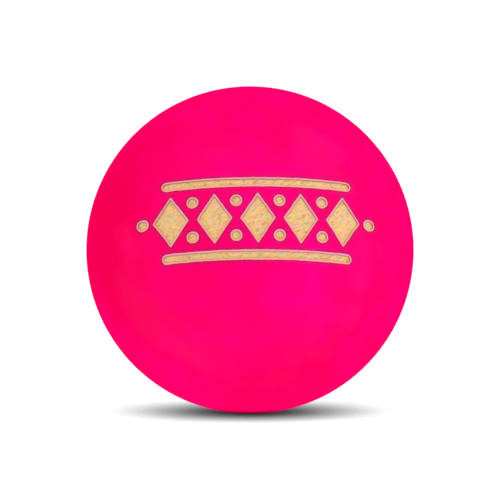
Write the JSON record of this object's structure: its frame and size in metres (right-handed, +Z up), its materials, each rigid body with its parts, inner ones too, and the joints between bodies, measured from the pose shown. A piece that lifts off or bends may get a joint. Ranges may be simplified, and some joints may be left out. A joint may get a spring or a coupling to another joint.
{
  "type": "petanque jack",
  "caption": "Small painted wooden target ball for a lawn bowling game, with a shallow engraved ornament that shows bare wood through pink paint.",
  "frame": {"origin": "centre of the ball", "axes": "+Z up; the engraved ornament faces -Y (front), with +X to the right of somebody looking at the front"},
  "size_m": [0.03, 0.03, 0.03],
  "materials": {
    "bare_hardwood": "matte",
    "pale_undercoat": "matte",
    "fluorescent_pink_lacquer": "satin"
  },
  "bodies": {
    "root": {"wood_core": "bare_hardwood", "undercoat": "pale_undercoat", "pink_topcoat": "fluorescent_pink_lacquer"}
  },
  "joints": []
}
